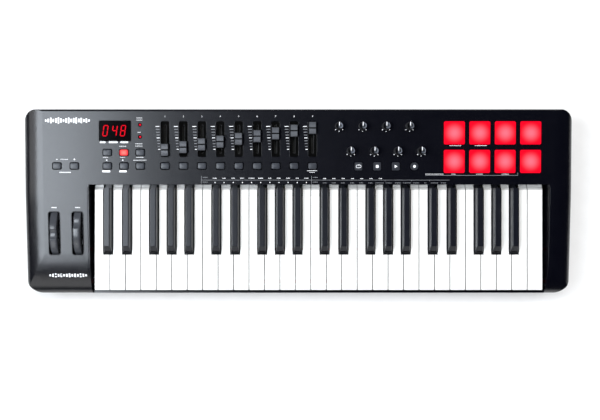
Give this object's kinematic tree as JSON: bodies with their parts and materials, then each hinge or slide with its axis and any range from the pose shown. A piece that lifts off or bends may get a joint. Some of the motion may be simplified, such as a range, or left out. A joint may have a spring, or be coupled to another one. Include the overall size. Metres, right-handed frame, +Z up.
{
  "type": "midi keyboard controller",
  "caption": "Desktop MIDI controller keyboard: full-size piano keys, pitch and modulation wheels, sliders, knobs, lit drum pads, buttons and a small display in a black case.",
  "frame": {"origin": "on the plane of the rubber feet, in the middle of the case's width, 139.5 mm behind its front edge and 136.7 mm in front of its rear edge", "axes": "+X to the player's right along the keys, +Y away from the player towards the rear sockets, +Z up"},
  "size_m": [0.82, 0.2762, 0.094],
  "materials": {
    "panel_black": "satin black ABS with a fine moulded texture",
    "base_black": "matt black ABS",
    "screw_steel": "black-zinc plated steel",
    "foot_rubber": "matt black rubber",
    "key_white": "glossy white",
    "key_black": "satin black",
    "chassis_grey": "moulded grey",
    "steel": "bright steel",
    "board_green": "solder-masked circuit board",
    "dome_silicone": "grey silicone",
    "felt_red": "wool felt",
    "component_black": "moulded component body",
    "window_smoke": "smoked red acrylic",
    "led_red": "red tinted lens",
    "fader_black": "satin black cap",
    "knob_black": "black cap with a white pointer",
    "button_black": "satin black button",
    "transport_grey": "dark grey button",
    "pad_red": "translucent silicone lit red from below",
    "wheel_black": "black with a soft rim"
  },
  "bodies": {
    "root": {"top_housing": "panel_black", "bottom_housing": "base_black", "case_screws": "screw_steel", "rubber_feet": "foot_rubber", "keybed_chassis": "chassis_grey", "key_pivot_rod": "steel", "key_contact_board": "board_green", "key_contact_domes": "dome_silicone", "key_return_springs": "steel", "key_stop_felts": "felt_red", "boards_and_ribbons": "board_green", "fader_potentiometers": "component_black", "rotary_potentiometers": "component_black", "button_switches": "component_black", "display_module": "component_black", "display_window": "window_smoke", "status_leds": "led_red", "pad_sensor_board": "board_green", "wheel_bracket": "chassis_grey", "pitch_return_spring": "steel", "usb_socket": "steel", "sustain_jack": "component_black", "power_switch_housing": "component_black"},
    "white_keys_1_ceg_b": {"white_keys_1_ceg_b": "key_white"},
    "white_keys_1_dfa": {"white_keys_1_dfa": "key_white"},
    "white_keys_2_ceg_b": {"white_keys_2_ceg_b": "key_white"},
    "white_keys_2_dfa": {"white_keys_2_dfa": "key_white"},
    "white_keys_3_ceg_b": {"white_keys_3_ceg_b": "key_white"},
    "white_keys_3_dfa": {"white_keys_3_dfa": "key_white"},
    "white_keys_4_ceg_b": {"white_keys_4_ceg_b": "key_white"},
    "white_keys_4_dfa": {"white_keys_4_dfa": "key_white"},
    "black_keys_1": {"black_keys_1": "key_black"},
    "black_keys_2": {"black_keys_2": "key_black"},
    "black_keys_3": {"black_keys_3": "key_black"},
    "black_keys_4": {"black_keys_4": "key_black"},
    "fader_1": {"fader_1": "fader_black"},
    "fader_2": {"fader_2": "fader_black"},
    "fader_3": {"fader_3": "fader_black"},
    "fader_4": {"fader_4": "fader_black"},
    "fader_5": {"fader_5": "fader_black"},
    "fader_6": {"fader_6": "fader_black"},
    "fader_7": {"fader_7": "fader_black"},
    "fader_8": {"fader_8": "fader_black"},
    "fader_9": {"fader_9": "fader_black"},
    "knob_1": {"knob_1": "knob_black"},
    "knob_2": {"knob_2": "knob_black"},
    "knob_3": {"knob_3": "knob_black"},
    "knob_4": {"knob_4": "knob_black"},
    "knob_5": {"knob_5": "knob_black"},
    "knob_6": {"knob_6": "knob_black"},
    "knob_7": {"knob_7": "knob_black"},
    "knob_8": {"knob_8": "knob_black"},
    "octave_buttons": {"octave_buttons": "button_black"},
    "edit_buttons": {"edit_buttons": "button_black"},
    "fader_buttons": {"fader_buttons": "button_black"},
    "transport_buttons": {"transport_buttons": "transport_grey"},
    "drum_pads": {"drum_pads": "pad_red"},
    "pitch_wheel": {"pitch_wheel": "wheel_black"},
    "mod_wheel": {"mod_wheel": "wheel_black"},
    "power_rocker": {"power_rocker": "component_black"}
  },
  "joints": [
    {"name": "white_keys_1_ceg_b_hinge", "type": "hinge", "parent": "root", "child": "white_keys_1_ceg_b", "pos_m": [0.0305, 0.08, 0.0475], "axis": [1, 0, 0], "range_deg": [0, 2.7], "stiffness_Nm_per_rad": 3.2, "springref_deg": -6.3, "deforming": ["key_contact_domes", "key_return_springs"]},
    {"name": "white_keys_1_dfa_hinge", "type": "hinge", "parent": "root", "child": "white_keys_1_dfa", "pos_m": [0.0305, 0.08, 0.0475], "axis": [1, 0, 0], "range_deg": [0, 2.7], "stiffness_Nm_per_rad": 2.4, "springref_deg": -6.3, "deforming": ["key_contact_domes", "key_return_springs"]},
    {"name": "white_keys_2_ceg_b_hinge", "type": "hinge", "parent": "root", "child": "white_keys_2_ceg_b", "pos_m": [0.0305, 0.08, 0.0475], "axis": [1, 0, 0], "range_deg": [0, 2.7], "stiffness_Nm_per_rad": 3.2, "springref_deg": -6.3, "deforming": ["key_contact_domes", "key_return_springs"]},
    {"name": "white_keys_2_dfa_hinge", "type": "hinge", "parent": "root", "child": "white_keys_2_dfa", "pos_m": [0.0305, 0.08, 0.0475], "axis": [1, 0, 0], "range_deg": [0, 2.7], "stiffness_Nm_per_rad": 2.4, "springref_deg": -6.3, "deforming": ["key_contact_domes", "key_return_springs"]},
    {"name": "white_keys_3_ceg_b_hinge", "type": "hinge", "parent": "root", "child": "white_keys_3_ceg_b", "pos_m": [0.0305, 0.08, 0.0475], "axis": [1, 0, 0], "range_deg": [0, 2.7], "stiffness_Nm_per_rad": 3.2, "springref_deg": -6.3, "deforming": ["key_contact_domes", "key_return_springs"]},
    {"name": "white_keys_3_dfa_hinge", "type": "hinge", "parent": "root", "child": "white_keys_3_dfa", "pos_m": [0.0305, 0.08, 0.0475], "axis": [1, 0, 0], "range_deg": [0, 2.7], "stiffness_Nm_per_rad": 2.4, "springref_deg": -6.3, "deforming": ["key_contact_domes", "key_return_springs"]},
    {"name": "white_keys_4_ceg_b_hinge", "type": "hinge", "parent": "root", "child": "white_keys_4_ceg_b", "pos_m": [0.0305, 0.08, 0.0475], "axis": [1, 0, 0], "range_deg": [0, 2.7], "stiffness_Nm_per_rad": 4, "springref_deg": -6.3, "deforming": ["key_contact_domes", "key_return_springs"]},
    {"name": "white_keys_4_dfa_hinge", "type": "hinge", "parent": "root", "child": "white_keys_4_dfa", "pos_m": [0.0305, 0.08, 0.0475], "axis": [1, 0, 0], "range_deg": [0, 2.7], "stiffness_Nm_per_rad": 2.4, "springref_deg": -6.3, "deforming": ["key_contact_domes", "key_return_springs"]},
    {"name": "black_keys_1_hinge", "type": "hinge", "parent": "root", "child": "black_keys_1", "pos_m": [0.0305, 0.08, 0.0475], "axis": [1, 0, 0], "range_deg": [0, 2.7], "stiffness_Nm_per_rad": 3.1, "springref_deg": -6.3, "deforming": ["key_contact_domes", "key_return_springs"]},
    {"name": "black_keys_2_hinge", "type": "hinge", "parent": "root", "child": "black_keys_2", "pos_m": [0.0305, 0.08, 0.0475], "axis": [1, 0, 0], "range_deg": [0, 2.7], "stiffness_Nm_per_rad": 3.1, "springref_deg": -6.3, "deforming": ["key_contact_domes", "key_return_springs"]},
    {"name": "black_keys_3_hinge", "type": "hinge", "parent": "root", "child": "black_keys_3", "pos_m": [0.0305, 0.08, 0.0475], "axis": [1, 0, 0], "range_deg": [0, 2.7], "stiffness_Nm_per_rad": 3.1, "springref_deg": -6.3, "deforming": ["key_contact_domes", "key_return_springs"]},
    {"name": "black_keys_4_hinge", "type": "hinge", "parent": "root", "child": "black_keys_4", "pos_m": [0.0305, 0.08, 0.0475], "axis": [1, 0, 0], "range_deg": [0, 2.7], "stiffness_Nm_per_rad": 3.1, "springref_deg": -6.3, "deforming": ["key_contact_domes", "key_return_springs"]},
    {"name": "fader_1_slide", "type": "slide", "parent": "root", "child": "fader_1", "axis": [0, 0.9994, 0.0349], "range_m": [0, 0.0324]},
    {"name": "fader_2_slide", "type": "slide", "parent": "root", "child": "fader_2", "axis": [0, 0.9994, 0.0349], "range_m": [-0.00405, 0.02835]},
    {"name": "fader_3_slide", "type": "slide", "parent": "root", "child": "fader_3", "axis": [0, 0.9994, 0.0349], "range_m": [-0.0081, 0.0243]},
    {"name": "fader_4_slide", "type": "slide", "parent": "root", "child": "fader_4", "axis": [0, 0.9994, 0.0349], "range_m": [-0.01215, 0.02025]},
    {"name": "fader_5_slide", "type": "slide", "parent": "root", "child": "fader_5", "axis": [0, 0.9994, 0.0349], "range_m": [-0.0162, 0.0162]},
    {"name": "fader_6_slide", "type": "slide", "parent": "root", "child": "fader_6", "axis": [0, 0.9994, 0.0349], "range_m": [-0.02025, 0.01215]},
    {"name": "fader_7_slide", "type": "slide", "parent": "root", "child": "fader_7", "axis": [0, 0.9994, 0.0349], "range_m": [-0.0243, 0.0081]},
    {"name": "fader_8_slide", "type": "slide", "parent": "root", "child": "fader_8", "axis": [0, 0.9994, 0.0349], "range_m": [-0.02835, 0.00405]},
    {"name": "fader_9_slide", "type": "slide", "parent": "root", "child": "fader_9", "axis": [0, 0.9994, 0.0349], "range_m": [-0.0324, 0]},
    {"name": "knob_1_turn", "type": "hinge", "parent": "root", "child": "knob_1", "pos_m": [0.0606, 0.11145, 0.07902], "axis": [0, -0.0349, 0.9994], "range_deg": [-145, 145]},
    {"name": "knob_2_turn", "type": "hinge", "parent": "root", "child": "knob_2", "pos_m": [0.09545, 0.11145, 0.07902], "axis": [0, -0.0349, 0.9994], "range_deg": [-145, 145]},
    {"name": "knob_3_turn", "type": "hinge", "parent": "root", "child": "knob_3", "pos_m": [0.1303, 0.11145, 0.07902], "axis": [0, -0.0349, 0.9994], "range_deg": [-145, 145]},
    {"name": "knob_4_turn", "type": "hinge", "parent": "root", "child": "knob_4", "pos_m": [0.16515, 0.11145, 0.07902], "axis": [0, -0.0349, 0.9994], "range_deg": [-145, 145]},
    {"name": "knob_5_turn", "type": "hinge", "parent": "root", "child": "knob_5", "pos_m": [0.07802, 0.07477, 0.07774], "axis": [0, -0.0349, 0.9994], "range_deg": [-145, 145]},
    {"name": "knob_6_turn", "type": "hinge", "parent": "root", "child": "knob_6", "pos_m": [0.11288, 0.07477, 0.07774], "axis": [0, -0.0349, 0.9994], "range_deg": [-145, 145]},
    {"name": "knob_7_turn", "type": "hinge", "parent": "root", "child": "knob_7", "pos_m": [0.14772, 0.07477, 0.07774], "axis": [0, -0.0349, 0.9994], "range_deg": [-145, 145]},
    {"name": "knob_8_turn", "type": "hinge", "parent": "root", "child": "knob_8", "pos_m": [0.18257, 0.07477, 0.07774], "axis": [0, -0.0349, 0.9994], "range_deg": [-145, 145]},
    {"name": "octave_buttons_press", "type": "slide", "parent": "root", "child": "octave_buttons", "axis": [0, 0.0349, -0.9994], "range_m": [0, 0.0008], "stiffness_N_per_m": 500, "springref_m": -0.0008},
    {"name": "edit_buttons_press", "type": "slide", "parent": "root", "child": "edit_buttons", "axis": [0, 0.0349, -0.9994], "range_m": [0, 0.0008], "stiffness_N_per_m": 1500, "springref_m": -0.0008},
    {"name": "fader_buttons_press", "type": "slide", "parent": "root", "child": "fader_buttons", "axis": [0, 0.0349, -0.9994], "range_m": [0, 0.0008], "stiffness_N_per_m": 2250, "springref_m": -0.0008},
    {"name": "transport_buttons_press", "type": "slide", "parent": "root", "child": "transport_buttons", "axis": [0, 0.0349, -0.9994], "range_m": [0, 0.0008], "stiffness_N_per_m": 1000, "springref_m": -0.0008},
    {"name": "drum_pads_press", "type": "slide", "parent": "root", "child": "drum_pads", "axis": [0, 0.0349, -0.9994], "range_m": [0, 0.0007], "stiffness_N_per_m": 8000, "springref_m": -0.0005},
    {"name": "pitch_wheel_turn", "type": "hinge", "parent": "root", "child": "pitch_wheel", "pos_m": [-0.3647, -0.04496, 0.0388], "axis": [1, 0, 0], "range_deg": [-40, 40], "stiffness_Nm_per_rad": 0.08, "deforming": ["pitch_return_spring"]},
    {"name": "mod_wheel_turn", "type": "hinge", "parent": "root", "child": "mod_wheel", "pos_m": [-0.3299, -0.04496, 0.0388], "axis": [1, 0, 0], "range_deg": [-17.1, 62.9]},
    {"name": "power_rocker_tilt", "type": "hinge", "parent": "root", "child": "power_rocker", "pos_m": [-0.32, 0.1287, 0.052], "axis": [1, 0, 0], "range_deg": [-12, 0]}
  ]
}
